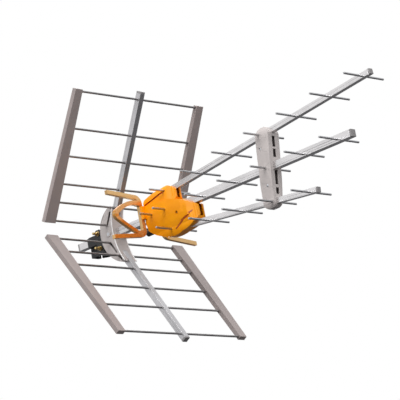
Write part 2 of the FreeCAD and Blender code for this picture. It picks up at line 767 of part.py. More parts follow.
# ---------------------------------------------------------------- mast clamp

def clamp_bolt_heights():
    return ("sizes.pivot_z", "sizes.pivot_z - sizes.bolt_gap")


def mast_space(radius="sizes.mast_dia / 2"):
    return rod(radius, "sizes.clamp_length * 2", "-sizes.mast_setback", "sizes.mast_offset",
               "-sizes.clamp_length")


def make_sleeve():
    """The insert on the tail and the two plates that tilt between the wing nuts and the saddle."""
    half = "sizes.sleeve_half_width"
    inner = "(sizes.sleeve_half_width - sizes.tilt_plate)"
    sleeve = block("-sizes.sleeve_back", "-" + inner, -11.0, "sizes.sleeve_back - 38", "2 * " + inner, 26.0)
    pivot = cross_rod("sizes.bolt_dia / 2 + 0.06", 60.0, "sizes.pivot_x", -30.0, "sizes.pivot_z")
    node("clamp_sleeve", cut(sleeve, boom_channels()[1], pivot))
    plates = []
    for y in ("-" + half, inner):
        plate = outline("XZ", [
            (-61, -36, 0.0), (-37, -36, 0.0), (-37, 18, -0.3), (-49, 27, -0.3), (-61, 18, 0.0),
        ])
        solid = extrude(plate, "XZ", "sizes.tilt_plate")
        plates.append(put(group(solid), 0.0, y, 0.0))
    node("tilt_plates", group(*[cut(plate, pivot, tilt_slot()) for plate in plates]))


def tilt_slot():
    """The arc slot round the pivot for the lower bolt."""
    centre_x = size("pivot_x")
    centre_z = size("pivot_z")
    half = size("bolt_dia") / 2 + 0.35
    limit = math.radians(size("tilt_limit") + 0.5)
    corners = []
    for radius, angle in ((size("bolt_gap") + half, -limit), (size("bolt_gap") + half, limit),
                          (size("bolt_gap") - half, limit), (size("bolt_gap") - half, -limit)):
        corners.append((centre_x + radius * math.sin(angle), centre_z - radius * math.cos(angle)))
    arc_bulge = (1 - math.cos(limit)) / (2 * math.sin(limit))
    bulges = (-arc_bulge, -0.5, arc_bulge, -0.5)
    sketch = outline("XZ", [(c[0], c[1], b) for c, b in zip(corners, bulges)])
    return extrude(sketch, "XZ", 30.0, 30.0)


def make_saddle():
    """The fixed half of the mast clamp."""
    face = "sizes.sleeve_half_width + sizes.face_gap"
    low = "-sizes.clamp_bottom"
    height = "sizes.clamp_length"
    plate = block("-sizes.jaw_pin_x - 4", face, low, "sizes.jaw_pin_x + 4 - sizes.sleeve_front",
                  "sizes.plate", height)
    pad = block("-sizes.mast_setback - 19", face, low, 38.0, 14.2, height)
    lugs = []
    knuckles = []
    for z, part in ((low, 16.0), (low + " + 44", 16.0)):
        lugs.append(block("-sizes.jaw_pin_x - 6", face, z, 5.0, "sizes.mast_offset - (%s)" % face, part))
        knuckles.append(rod(6.0, part, "-sizes.jaw_pin_x", "sizes.mast_offset", z))
    holes = [cross_rod("sizes.bolt_dia / 2 + 0.06", 60.0, "sizes.pivot_x", 0.0, z)
             for z in clamp_bolt_heights()]
    pin = rod(3.0, 100.0, "-sizes.jaw_pin_x", "sizes.mast_offset", -50.0)
    solid = cut(fuse(plate, pad, *lugs, *knuckles), mast_space(), pin, *holes)
    node("mast_saddle", solid)
    node("jaw_pin", rod(3.0, height, "-sizes.jaw_pin_x", "sizes.mast_offset", low))


def make_jaw():
    """The hinged half of the mast clamp."""
    low = "-sizes.clamp_bottom"
    height = "sizes.clamp_length"
    ring = rod("sizes.mast_dia / 2 + 4", height, "-sizes.mast_setback", "sizes.mast_offset", low)
    near = block("-sizes.mast_setback - 40", "sizes.mast_offset - 40", low, 80.0, 46.0, height)
    band = cut(ring, near)
    arm = block("-sizes.jaw_pin_x", "sizes.mast_offset + 1.5", low + " + 16.4", 16.0, 10.0, 27.2)
    rear_web = block("-sizes.mast_setback - 24", "sizes.mast_offset + 6", low, 10.0, 6.0, height)
    knuckle = rod(6.0, 27.2, "-sizes.jaw_pin_x", "sizes.mast_offset", low + " + 16.4")
    flange = block("-sizes.mast_setback + 18", "sizes.mast_offset + 6", low, 24.0, 4.5, height)
    pin = rod(3.06, 100.0, "-sizes.jaw_pin_x", "sizes.mast_offset", -50.0)
    slots = []
    for z in clamp_bolt_heights():
        slots.append(block("sizes.pivot_x - 6", 30.0, z + " - 3.3", 13.0, 30.0, 6.6))
    node("mast_jaw", cut(fuse(band, arm, rear_web, knuckle, flange), mast_space(), pin, *slots))


def make_clamp_fasteners():
    bolts = []
    washers = []
    face = "-sizes.sleeve_half_width - sizes.face_gap"
    seat = "sizes.mast_offset + 10.5 + sizes.face_gap"
    for z in clamp_bolt_heights():
        shank = cross_rod("sizes.bolt_dia / 2", "%s + 34" % seat, "sizes.pivot_x", -34.0, z)
        head = cross_rod(6.4, 3.6, "sizes.pivot_x", seat, z)
        bolts.append(fuse(shank, head))
        disc = cross_rod(6.5, "sizes.washer", "sizes.pivot_x", "%s - sizes.washer" % face, z)
        washers.append(cut(disc, cross_rod("sizes.bolt_dia / 2 + 0.2", 60.0, "sizes.pivot_x", -30.0, z)))
    node("clamp_bolts", group(*bolts))
    node("clamp_washers", group(*washers))
    for name, z in zip(("upper_wing_nut", "lower_wing_nut"), clamp_bolt_heights()):
        make_wing_nut(name, z)


WINGS = [
    (-4, 0, 0.0), (-13, -8, 0.35), (-9, -13, 0.1), (-3, -6.5, 0.0), (3, -6.5, 0.1), (9, -13, 0.35),
    (13, -8, 0.0), (4, 0, 0.0),
]


def make_wing_nut(name, z):
    """A pressed wing nut: a round hub and two wings that lean outwards."""
    base = "-sizes.sleeve_half_width - sizes.face_gap - sizes.washer - 0.3"
    hub = cross_rod(5.2, 7.0, "sizes.pivot_x", "%s - 7" % base, z)
    plate = put(group(extrude(outline("XY", WINGS), "XY", 2.2)), "sizes.pivot_x", base, "%s - 1.1" % z)
    bore = cross_rod("sizes.bolt_dia / 2 + 0.06", 60.0, "sizes.pivot_x", -50.0, z)
    node(name, cut(fuse(hub, plate), bore))


def build():
    make_main_boom()
    make_fan_boom("upper", "sizes.upper_fan_angle", "sizes.upper_fan_x", "sizes.upper_fan_z",
                  "sizes.upper_fan_back", 7, 1)
    make_fan_boom("lower", "sizes.lower_fan_angle", "sizes.lower_fan_x", "-sizes.lower_fan_z",
                  "sizes.lower_fan_back", 5, -1)
    make_body()
    make_body_screw()
    make_dipole_wing("left_dipole", list)
    make_dipole_wing("right_dipole", mirrored_corners)
    make_dipole_screws()
    make_balun()
    make_strut()
    for side, rise in PANELS:
        make_panel(side, rise)
    make_bracket()
    make_sleeve()
    make_saddle()
    make_jaw()
    make_clamp_fasteners()


def check_document():
    """Stop if any object failed, or a sub-part has no sound shape."""
    failed = [obj for obj in doc.Objects if "Invalid" in obj.State or "Error" in obj.State]
    if failed:
        raise RuntimeError("failed: " + ", ".join("%s (%s)" % (obj.Name, obj.Label) for obj in failed))
    for obj in NODES:
        if obj.Shape.isNull() or not obj.Shape.isValid() or not obj.Shape.Solids:
            raise RuntimeError("%s has no valid solid" % obj.Label)


build()
doc.recompute()
check_document()
os.makedirs("parts", exist_ok=True)
for obj in NODES:
    obj.Shape.exportStep("parts/%s.step" % obj.Label)
    box = obj.Shape.BoundBox
    print("%-24s solids %d  volume %9.0f  x %7.1f..%7.1f  y %7.1f..%7.1f  z %7.1f..%7.1f" % (
        obj.Label, len(obj.Shape.Solids), obj.Shape.Volume, box.XMin, box.XMax, box.YMin, box.YMax,
        box.ZMin, box.ZMax))
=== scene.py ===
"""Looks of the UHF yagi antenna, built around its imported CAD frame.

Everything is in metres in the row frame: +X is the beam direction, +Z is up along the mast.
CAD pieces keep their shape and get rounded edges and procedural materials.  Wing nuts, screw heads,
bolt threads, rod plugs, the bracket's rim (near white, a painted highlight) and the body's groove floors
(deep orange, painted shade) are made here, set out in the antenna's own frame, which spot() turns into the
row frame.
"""
import json
import math

import bpy
from mathutils import Matrix, Vector


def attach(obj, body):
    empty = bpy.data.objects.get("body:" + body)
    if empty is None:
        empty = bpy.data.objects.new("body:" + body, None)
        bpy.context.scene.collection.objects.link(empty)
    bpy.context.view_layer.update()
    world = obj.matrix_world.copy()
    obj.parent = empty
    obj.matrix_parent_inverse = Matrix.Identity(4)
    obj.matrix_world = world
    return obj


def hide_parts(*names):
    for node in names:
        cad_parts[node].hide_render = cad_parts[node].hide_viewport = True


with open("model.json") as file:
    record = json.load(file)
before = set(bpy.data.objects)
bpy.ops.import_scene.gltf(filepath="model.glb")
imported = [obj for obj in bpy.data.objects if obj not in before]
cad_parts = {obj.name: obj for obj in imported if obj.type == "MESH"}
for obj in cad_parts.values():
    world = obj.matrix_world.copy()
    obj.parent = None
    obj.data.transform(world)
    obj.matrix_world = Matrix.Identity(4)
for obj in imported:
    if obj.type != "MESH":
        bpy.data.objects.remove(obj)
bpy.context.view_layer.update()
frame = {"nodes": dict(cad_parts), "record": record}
nodes = frame["nodes"]
slot_of = {part["node"]: part["material_slot"] for part in frame["record"]["subparts"]}

MM = 0.001


# ---------------------------------------------------------------- materials

class Shade:
    """A Principled material whose colour, roughness and bump come from procedural nodes."""

    def __init__(self, name, metallic=0.0, specular=0.5, coat=0.0, coat_roughness=0.1):
        self.material = bpy.data.materials.new(name)
        self.material.use_nodes = True
        self.tree = self.material.node_tree
        self.shader = self.tree.nodes["Principled BSDF"]
        self.shader.inputs["Metallic"].default_value = metallic
        self.shader.inputs["Specular IOR Level"].default_value = specular
        self.shader.inputs["Coat Weight"].default_value = coat
        self.shader.inputs["Coat Roughness"].default_value = coat_roughness
        self.coordinates = self.node("ShaderNodeTexCoord").outputs["Object"]
        self.height = None

    def node(self, kind, **settings):
        made = self.tree.nodes.new(kind)
        for key, value in settings.items():
            setattr(made, key, value)
        return made

    def link(self, source, target):
        self.tree.links.new(source, target)

    def stretched(self, scale):
        """The object's coordinates scaled on each axis, for grain that runs one way."""
        mapping = self.node("ShaderNodeMapping")
        mapping.inputs["Scale"].default_value = scale
        self.link(self.coordinates, mapping.inputs["Vector"])
        return mapping.outputs["Vector"]

    def noise(self, scale, detail=4.0, roughness=0.55, stretch=(1, 1, 1)):
        texture = self.node("ShaderNodeTexNoise")
        texture.inputs["Scale"].default_value = scale
        texture.inputs["Detail"].default_value = detail
        texture.inputs["Roughness"].default_value = roughness
        self.link(self.stretched(stretch), texture.inputs["Vector"])
        return texture.outputs["Fac"]

    def ramp(self, factor, stops):
        """A colour ramp; each stop is (position, (red, green, blue))."""
        ramp = self.node("ShaderNodeValToRGB")
        while len(ramp.color_ramp.elements) < len(stops):
            ramp.color_ramp.elements.new(0.5)
        for element, (position, colour) in zip(ramp.color_ramp.elements, stops):
            element.position = position
            element.color = (*colour, 1.0)
        self.link(factor, ramp.inputs["Fac"])
        return ramp.outputs["Color"]

    def spread(self, factor, low, high):
        """The factor's middle range stretched to low..high."""
        spread = self.node("ShaderNodeMapRange")
        spread.inputs["From Min"].default_value = 0.3
        spread.inputs["From Max"].default_value = 0.7
        spread.inputs["To Min"].default_value = low
        spread.inputs["To Max"].default_value = high
        self.link(factor, spread.inputs["Value"])
        return spread.outputs["Result"]

    def mix(self, factor, first, second):
        """Two colours mixed; each is a socket or (red, green, blue)."""
        mixer = self.node("ShaderNodeMix", data_type="RGBA", blend_type="MIX")
        self.link(factor, mixer.inputs["Factor"])
        for value, socket in ((first, mixer.inputs[6]), (second, mixer.inputs[7])):
            if isinstance(value, tuple):
                socket.default_value = (*value, 1.0)
            else:
                self.link(value, socket)
        return mixer.outputs[2]

    def worn_edges(self, low=0.52, high=0.60):
        """1 along sharp convex edges, 0 elsewhere."""
        geometry = self.node("ShaderNodeNewGeometry")
        worn = self.node("ShaderNodeMapRange")
        worn.inputs["From Min"].default_value = low
        worn.inputs["From Max"].default_value = high
        self.link(geometry.outputs["Pointiness"], worn.inputs["Value"])
        return worn.outputs["Result"]

    def colour(self, socket):
        self.link(socket, self.shader.inputs["Base Color"])

    def roughness(self, socket):
        self.link(socket, self.shader.inputs["Roughness"])

    def bump(self, factor, distance, strength=1.0):
        """Add a layer of relief; distance is in metres."""
        bump = self.node("ShaderNodeBump")
        bump.inputs["Strength"].default_value = strength
        bump.inputs["Distance"].default_value = distance
        self.link(factor, bump.inputs["Height"])
        if self.height is not None:
            self.link(self.height, bump.inputs["Normal"])
        self.height = bump.outputs["Normal"]
        self.link(self.height, self.shader.inputs["Normal"])


def tint(colour, share):
    """The colour made lighter or darker by a share."""
    return tuple(min(1.0, channel * share) for channel in colour)


def drawn_metal(name, colour, rough, along, contrast=0.12):
    """Extruded aluminium: fine die lines along the profile, faint oxide clouds and handling marks."""
    shade = Shade(name, metallic=1.0)
    lines = shade.noise(900.0, detail=3.0, stretch=along)
    clouds = shade.noise(14.0, detail=5.0)
    spots = shade.noise(160.0, detail=6.0, roughness=0.7)
    base = shade.ramp(clouds, [(0.3, tint(colour, 1 - contrast)), (0.7, tint(colour, 1 + contrast))])
    lined = shade.mix(shade.spread(lines, 0.0, 0.35), base, tint(colour, 0.72))
    shade.colour(shade.mix(shade.spread(spots, 0.0, 0.12), lined, tint(colour, 0.6)))
    shade.roughness(shade.spread(lines, rough - 0.06, rough + 0.08))
    shade.bump(lines, 0.00006, 0.35)
    shade.bump(spots, 0.00004, 0.2)
    return shade.material


def moulded_plastic(name, colour, rough, grain, coat=0.0, shift=0.10):
    """Injection moulded plastic: spark-eroded grain, slow flow marks and slightly paler worn edges."""
    shade = Shade(name, specular=0.5, coat=coat, coat_roughness=0.12)
    flow = shade.noise(22.0, detail=4.0, stretch=(1.0, 1.6, 0.7))
    fine = shade.noise(1400.0, detail=2.0)
    dust = shade.noise(85.0, detail=6.0, roughness=0.7)
    base = shade.ramp(flow, [(0.32, tint(colour, 1 - shift)), (0.68, tint(colour, 1 + shift))])
    dusty = shade.mix(shade.spread(dust, 0.0, 0.10), base, tint(colour, 0.7))
    shade.colour(shade.mix(shade.worn_edges(), dusty, tint(colour, 1.25)))
    shade.roughness(shade.spread(dust, rough - 0.05, rough + 0.09))
    shade.bump(fine, 0.00005, grain)
    shade.bump(flow, 0.0004, 0.15)
    return shade.material


def orange_abs():
    """Glossy orange ABS with a soft clear sheen, mould flow and a fine texture that blurs reflections."""
    shade = Shade("orange_abs", specular=0.22, coat=0.06, coat_roughness=0.12)
    flow = shade.noise(16.0, detail=4.0, stretch=(0.8, 1.4, 1.0))
    pits = shade.noise(480.0, detail=3.0)
    marks = shade.noise(60.0, detail=7.0, roughness=0.75)
    stops = [(0.3, (0.86, 0.27, 0.0)), (0.5, (0.95, 0.33, 0.001)), (0.72, (1.0, 0.38, 0.002))]
    base = shade.ramp(flow, stops)
    shade.colour(shade.mix(shade.spread(marks, 0.0, 0.10), base, (0.8, 0.2, 0.003)))
    shade.roughness(shade.spread(marks, 0.26, 0.42))
    shade.bump(pits, 0.00005, 0.3)
    shade.bump(flow, 0.0006, 0.2)
    return shade.material


def passivated_steel(name, colour, second, rough):
    """Yellow zinc passivated steel: an uneven gold film with a rainbow drift and small scratches."""
    shade = Shade(name, metallic=1.0)
    film = shade.noise(70.0, detail=5.0)
    drift = shade.noise(25.0, detail=2.0)
    scratch = shade.noise(700.0, detail=3.0, stretch=(0.25, 1.0, 1.0))
    base = shade.ramp(film, [(0.3, tint(colour, 0.8)), (0.55, colour), (0.75, second)])
    drifted = shade.mix(shade.spread(drift, 0.0, 0.4), base, (0.62, 0.50, 0.30))
    shade.colour(shade.mix(shade.worn_edges(), drifted, tint(colour, 1.3)))
    shade.roughness(shade.spread(scratch, rough - 0.07, rough + 0.10))
    shade.bump(scratch, 0.00004, 0.4)
    return shade.material


def plated_metal(name, colour, rough):
    """Bright plated metal with faint stains and turning marks."""
    shade = Shade(name, metallic=1.0)
    stains = shade.noise(120.0, detail=5.0)
    marks = shade.noise(1500.0, detail=2.0, stretch=(1.0, 0.15, 1.0))
    shade.colour(shade.ramp(stains, [(0.3, tint(colour, 0.8)), (0.7, tint(colour, 1.15))]))
    shade.roughness(shade.spread(marks, rough - 0.06, rough + 0.08))
    shade.bump(marks, 0.00003, 0.3)
    return shade.material


def anodised_strip():
    """The dipole's orange anodised strip: rolled grain along Y with deeper colour in its clouds."""
    shade = Shade("anodised_strip", metallic=0.75)
    grain = shade.noise(800.0, detail=3.0, stretch=(1.0, 0.08, 1.0))
    clouds = shade.noise(30.0, detail=5.0)
    base = shade.ramp(clouds, [(0.3, (0.66, 0.26, 0.03)), (0.7, (0.82, 0.37, 0.06))])
    lined = shade.mix(shade.spread(grain, 0.0, 0.3), base, (0.46, 0.22, 0.07))
    shade.colour(shade.mix(shade.worn_edges(0.57, 0.68), lined, (0.72, 0.46, 0.20)))
    shade.roughness(shade.spread(grain, 0.24, 0.40))
    shade.bump(grain, 0.00004, 0.4)
    return shade.material


def circuit_board():
    """Green solder mask over copper traces."""
    shade = Shade("circuit_board", specular=0.5, coat=0.2)
    weave = shade.node("ShaderNodeTexBrick")
    weave.inputs["Scale"].default_value = 160.0
    weave.inputs["Color1"].default_value = (0.01, 0.10, 0.03, 1)
    weave.inputs["Color2"].default_value = (0.015, 0.14, 0.045, 1)
    weave.inputs["Mortar"].default_value = (0.03, 0.22, 0.07, 1)
    shade.link(shade.coordinates, weave.inputs["Vector"])
    shade.colour(weave.outputs["Color"])
    shade.roughness(shade.spread(shade.noise(300.0), 0.3, 0.5))
    shade.bump(weave.outputs["Fac"], 0.00003, 0.4)
    return shade.material


ALONG_X = (0.02, 1.0, 1.0)
ALONG_Y = (1.0, 0.02, 1.0)
ALONG_Z = (1.0, 1.0, 0.03)

MATERIALS = {
    "boom_aluminium": drawn_metal("boom_aluminium", (0.80, 0.785, 0.785), 0.26, ALONG_X),
    "director_aluminium": drawn_metal("director_aluminium", (0.52, 0.52, 0.53), 0.34, ALONG_Y),
    "reflector_tube": drawn_metal("reflector_tube", (0.62, 0.61, 0.62), 0.36, ALONG_Z),
    "reflector_rod": drawn_metal("reflector_rod", (0.32, 0.31, 0.31), 0.36, ALONG_Y),
    "dipole_aluminium": anodised_strip(),
    "orange_plastic": orange_abs(),
    "grey_plastic": moulded_plastic("grey_plastic", (0.50, 0.455, 0.44), 0.42, 0.3, coat=0.1),
    "cover_plastic": moulded_plastic("cover_plastic", (0.29, 0.245, 0.235), 0.45, 0.3, coat=0.05),
    "cap_plastic": moulded_plastic("cap_plastic", (0.22, 0.21, 0.21), 0.5, 0.6),
    "black_plastic": moulded_plastic("black_plastic", (0.012, 0.012, 0.013), 0.45, 0.8),
    # black_steel: near-black tilt plates, saddle and jaw, a painted shade that stands for the shadow round
    # the wing nuts
    "black_steel": moulded_plastic("black_steel", (0.015, 0.015, 0.016), 0.38, 1.0),
    "yellow_zinc": passivated_steel("yellow_zinc", (0.70, 0.50, 0.20), (0.78, 0.66, 0.36), 0.30),
    "zinc_steel": plated_metal("zinc_steel", (0.60, 0.61, 0.63), 0.26),
    "circuit_board": circuit_board(),
    "tin_plate": plated_metal("tin_plate", (0.72, 0.72, 0.70), 0.30),
    "nickel_brass": plated_metal("nickel_brass", (0.72, 0.69, 0.62), 0.22),
}


# ---------------------------------------------------------------- the CAD pieces' edges and finishes

EDGE_RADIUS = {
    "orange_plastic": 1.6 * MM,
    "grey_plastic": 1.1 * MM,
    "cover_plastic": 1.0 * MM,
    "cap_plastic": 0.8 * MM,
    "boom_aluminium": 0.5 * MM,
    "reflector_tube": 0.5 * MM,
    "dipole_aluminium": 0.5 * MM,
    "black_plastic": 0.8 * MM,
    "black_steel": 0.4 * MM,
    "yellow_zinc": 0.5 * MM,
    "zinc_steel": 0.3 * MM,
}


def rounded(obj, width):
    """Join the faces of a CAD mesh and round its edges, without touching the mesh itself."""
    weld = obj.modifiers.new("weld", "WELD")
    weld.merge_threshold = 0.02 * MM
    bevel = obj.modifiers.new("rounded", "BEVEL")
    bevel.width = width
    bevel.segments = 2
    bevel.limit_method = "ANGLE"
    bevel.angle_limit = math.radians(32)
    bevel.use_clamp_overlap = True
    bevel.harden_normals = False
    normals = obj.modifiers.new("creases", "WEIGHTED_NORMAL")
    normals.keep_sharp = True
    normals.weight = 60


def finish_cad_nodes():
    """Give every CAD node its slot's material and, where stated, rounded edges."""
    for name, obj in nodes.items():
        slot = slot_of[name]
        obj.data.materials.clear()
        obj.data.materials.append(MATERIALS[slot])
        for face in obj.data.polygons:
            face.material_index = 0
            face.use_smooth = True
        if slot in EDGE_RADIUS:
            rounded(obj, EDGE_RADIUS[slot])


finish_cad_nodes()


# ---------------------------------------------------------------- pieces made here

# the CAD's own sizes, in millimetres in the antenna's frame
SETBACK = 78.0
OFFSET = 38.5
PIVOT_X = -49.0
NUT_FACE = -16.2
BOLT_POINT = -33.4
BOLT_HEIGHTS = (16.5, -25.5)
PANEL_SLOPE = math.radians(60.0)
PANEL_FOOT = 25.1
ROD_PITCH = 50.9
ROD_STEPS = (0.0, 1.0, 2.0, 3.5, 5.0, 7.0)
COVER_FLARE = 266.0
COVER_TAPER = 14.0
COVER_LENGTH = 368.3
COVER_START = 6.0
GROOVE_SLOPE = math.radians(13.4)
BRACKET_BULGE = 0.11


def spot(x, y, z):
    """A point of the antenna's own frame (millimetres, symmetry plane at y = 0) in the row frame."""
    return Vector(((x + SETBACK) * MM, (y - OFFSET) * MM, z * MM))


def piece(name, vertices, faces, slot, body, material=None):
    """A smooth mesh that takes its finish from a slot and moves with a body."""
    mesh = bpy.data.meshes.new(name)
    mesh.from_pydata(vertices, [], faces)
    mesh.update()
    for face in mesh.polygons:
        face.use_smooth = True
    mesh.materials.append(material or MATERIALS[slot])
    obj = bpy.data.objects.new(name, mesh)
    bpy.context.scene.collection.objects.link(obj)
    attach(obj, body)
    return obj


def frame_of(axis):
    """Two directions square to the axis."""
    axis = Vector(axis).normalized()
    first = axis.orthogonal().normalized()
    return axis, first, axis.cross(first)


def joined(*parts):
    """Several (vertices, faces) pairs as one."""
    vertices = []
    faces = []
    for more, cells in parts:
        start = len(vertices)
        vertices += more
        faces += [tuple(start + index for index in face) for face in cells]
    return vertices, faces


def ring_faces(rings, count, closed):
    """Quads between neighbouring rings of vertices; closed joins the last ring to the first."""
    faces = []
    for ring in range(rings if closed else rings - 1):
        following = (ring + 1) % rings
        for step in range(count):
            after = (step + 1) % count
            faces.append((ring * count + step, ring * count + after,
                          following * count + after, following * count + step))
    return faces


def turned(profile, origin, axis, count=40, closed=False):
    """A surface of revolution; the profile holds (radius, height along the axis) in millimetres."""
    axis, first, second = frame_of(axis)
    vertices = []
    for radius, height in profile:
        for step in range(count):
            angle = 2 * math.pi * step / count
            out = first * math.cos(angle) + second * math.sin(angle)
            vertices.append(origin + (axis * height + out * radius) * MM)
    faces = ring_faces(len(profile), count, closed)
    if not closed:
        faces.append(tuple(range((len(profile) - 1) * count, len(profile) * count)))
    return vertices, faces


def swept(points, across, up, section, count=16):
    """A tube through points; the section gives its half width and half height at each share of it."""
    vertices = []
    for index, point in enumerate(points):
        width, height = section(index / (len(points) - 1))
        for step in range(count):
            angle = 2 * math.pi * step / count
            vertices.append(point + across[index] * width * math.cos(angle) + up * height * math.sin(angle))
    faces = ring_faces(len(points), count, False)
    faces.append(tuple(range(count))[::-1])
    faces.append(tuple(range(len(vertices) - count, len(vertices))))
    return vertices, faces


def wing(origin, side):
    """One ear of a wing nut: it leaves the hub sideways, leans outwards and ends in a rounded lobe."""
    last = 12
    line = []
    for index in range(last + 1):
        share = index / last
        line.append((side * (4.3 + 5.9 * share ** 0.8), 2.6 + 7.6 * share ** 1.25))
    across = []
    for index in range(last + 1):
        before = line[max(index - 1, 0)]
        after = line[min(index + 1, last)]
        across.append(Vector((after[1] - before[1], after[0] - before[0], 0)).normalized())
    points = [origin + Vector((x, -out, 0)) * MM for x, out in line]

    def section(share):
        swell = 2.2 + 0.9 * math.sin(math.pi * min(1.0, share * 0.9))
        tip = math.sqrt(max(0.02, 1.0 - max(0.0, (share - 0.7) / 0.3) ** 2))
        return swell * tip * MM, (1.35 - 0.45 * share) * tip * MM

    return swept(points, across, Vector((0, 0, 1)), section, 20)


def make_wing_nut(name, body, z):
    """A pressed wing nut with a flared foot, a tapered hub, a bore and two ears."""
    origin = spot(PIVOT_X, NUT_FACE, z)
    profile = [(3.3, 0.0), (5.3, 0.0), (5.5, 0.5), (5.1, 1.3), (4.6, 3.0), (4.3, 6.2), (3.9, 6.9), (3.3, 7.0)]
    hub = turned(profile, origin, (0, -1, 0), closed=True)
    nut = piece(name + "_shape", *joined(hub, wing(origin, 1), wing(origin, -1)), "yellow_zinc", body)
    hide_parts(name)


def thread(origin, axis, radius, pitch, turns, count=24):
    """A helical ridge round a bolt's end."""
    axis, first, second = frame_of(axis)
    vertices = []
    steps = turns * count
    for step in range(steps + 1):
        angle = 2 * math.pi * step / count
        out = first * math.cos(angle) + second * math.sin(angle)
        fade = min(1.0, step / count, (steps - step) / count)
        for rise, shift in ((-0.15, -0.45), (0.22 * fade, 0.0), (-0.15, 0.45)):
            height = pitch * (step / count + shift)
            vertices.append(origin + (axis * height + out * (radius + rise)) * MM)
    faces = []
    for step in range(steps):
        for lane in (0, 1):
            low = step * 3 + lane
            faces.append((low, low + 1, low + 4, low + 3))
    return vertices, faces


def make_threads():
    """The threads on the bolts' ends that stand out past the wing nuts."""
    parts = [thread(spot(PIVOT_X, BOLT_POINT, z), (0, 1, 0), 2.98, 1.0, 9) for z in BOLT_HEIGHTS]
    piece("clamp_bolt_threads", *joined(*parts), "yellow_zinc", "bolts")


def screw_dome(origin, axis, radius, dome, arm=0.62, width=0.16):
    """A domed screw head with a cross recess."""
    axis, first, second = frame_of(axis)
    rings, count = 16, 64
    vertices = []
    for ring in range(rings):
        share = ring / (rings - 1)
        for step in range(count):
            angle = 2 * math.pi * step / count
            u = share * math.cos(angle)
            v = share * math.sin(angle)
            height = dome * math.sqrt(max(0.0, 1.0 - share ** 2.6))
            slim = width * (1.15 - 0.4 * share)
            if (abs(u) < slim and abs(v) < arm) or (abs(v) < slim and abs(u) < arm):
                height -= 0.8 * dome
            vertices.append(origin + (axis * (height + 0.03) + first * u * radius + second * v * radius) * MM)
    return vertices, ring_faces(rings, count, False)


def make_screw_heads():
    """Cross-recess heads on the body's, the strut's and the dipole's screws."""
    toned = passivated_steel("toned_steel", (0.42, 0.15, 0.03), (0.50, 0.22, 0.06), 0.4)
    body = screw_dome(spot(264.0, -27.0, -20.0), (0, -1, 0), 4.0, 1.4)
    piece("body_screw_head", *body, "zinc_steel", "antenna", toned)
    strut = [screw_dome(spot(582.0, -20.5, z), (0, -1, 0), 3.3, 1.2) for z in (53.0, -47.0)]
    piece("strut_screw_heads", *joined(*strut), "zinc_steel", "antenna")
    dipole = [screw_dome(spot(136.0, y, 9.0), (-1, 0, 0), 3.3, 1.3) for y in (38.0, -38.0)]
    piece("dipole_screw_heads", *joined(*dipole), "zinc_steel", "antenna")


def make_rod_end_plugs():
    """Dark dimpled plugs on the covers' outer faces, one at each rod."""
    run_x = math.cos(PANEL_SLOPE)
    run_z = math.sin(PANEL_SLOPE)
    profile = [(3.1, -0.4), (3.1, 0.10), (2.7, 0.14), (2.1, -0.1), (1.0, -0.25), (0.3, -0.28)]
    for rise, body in ((1, "upper_panel"), (-1, "lower_panel")):
        for side in (1, -1):
            plugs = []
            lean = Vector((run_x, 0, rise * run_z)) * COVER_TAPER / COVER_LENGTH
            axis = Vector((0, side, 0)) + lean
            for step in ROD_STEPS:
                run = step * ROD_PITCH
                out = side * (COVER_FLARE - COVER_TAPER * (run + COVER_START) / COVER_LENGTH)
                origin = spot(run * run_x, out, rise * (PANEL_FOOT + run * run_z))
                plugs.append(turned(profile, origin, axis, 28))
            name = "%s_%s_plugs" % (body, "left" if side > 0 else "right")
            piece(name, *joined(*plugs), "cap_plastic", body)


def make_bracket_highlight_beads():
    """A rolled rim along both front edges of the bracket, coloured near white as a painted highlight."""
    # near-white colour: a painted highlight along the bracket's front edges
    rim = moulded_plastic("rim_painted_highlight", (0.95, 0.93, 0.92), 0.35, 0.2, coat=0.2)
    low = Vector((41.0, 0, -87.0))
    high = Vector((27.2, 0, 71.0))
    chord = high - low
    left = Vector((-chord.z, 0, chord.x))
    for name, y in (("left", 23.0), ("right", -23.0)):
        points = []
        across = []
        for index in range(49):
            share = index / 48
            bend = 4 * BRACKET_BULGE * share * (1 - share)
            place = low + chord * share + left * bend
            points.append(spot(place.x, y, place.z))
            run = chord + left * (4 * BRACKET_BULGE * (1 - 2 * share))
            across.append(Vector((-run.z, 0, run.x)).normalized())
        bead = swept(points, across, Vector((0, 1, 0)), lambda _: (1.5 * MM, 1.5 * MM), 12)
        piece("bracket_%s_bead" % name, *bead, "grey_plastic", "antenna", rim)


def groove_strip(x, z, start, end, side):
    """A strip with round ends on the floor of one of the body's side grooves; it carries the groove's painted
    shade.
    """
    along = Vector((math.cos(GROOVE_SLOPE), 0, math.sin(GROOVE_SLOPE)))
    across = Vector((-math.sin(GROOVE_SLOPE), 0, math.cos(GROOVE_SLOPE)))
    radius = 2.3
    rim = []
    for middle, first in ((start + radius, math.pi / 2), (end - radius, -math.pi / 2)):
        for step in range(12):
            angle = math.pi * step / 11 + first
            rim.append(along * (middle + radius * math.cos(angle)) + across * radius * math.sin(angle))
    count = len(rim)
    centre = along * (start + end) / 2
    vertices = []
    for scale, depth in ((1.0, 22.4), (1.0, 23.1), (0.985, 23.3)):
        for point in rim:
            place = centre + (point - centre) * scale
            vertices.append(spot(x + place.x, side * depth, z + place.z))
    faces = ring_faces(3, count, False)
    faces.append(tuple(range(2 * count, 3 * count)))
    return vertices, faces


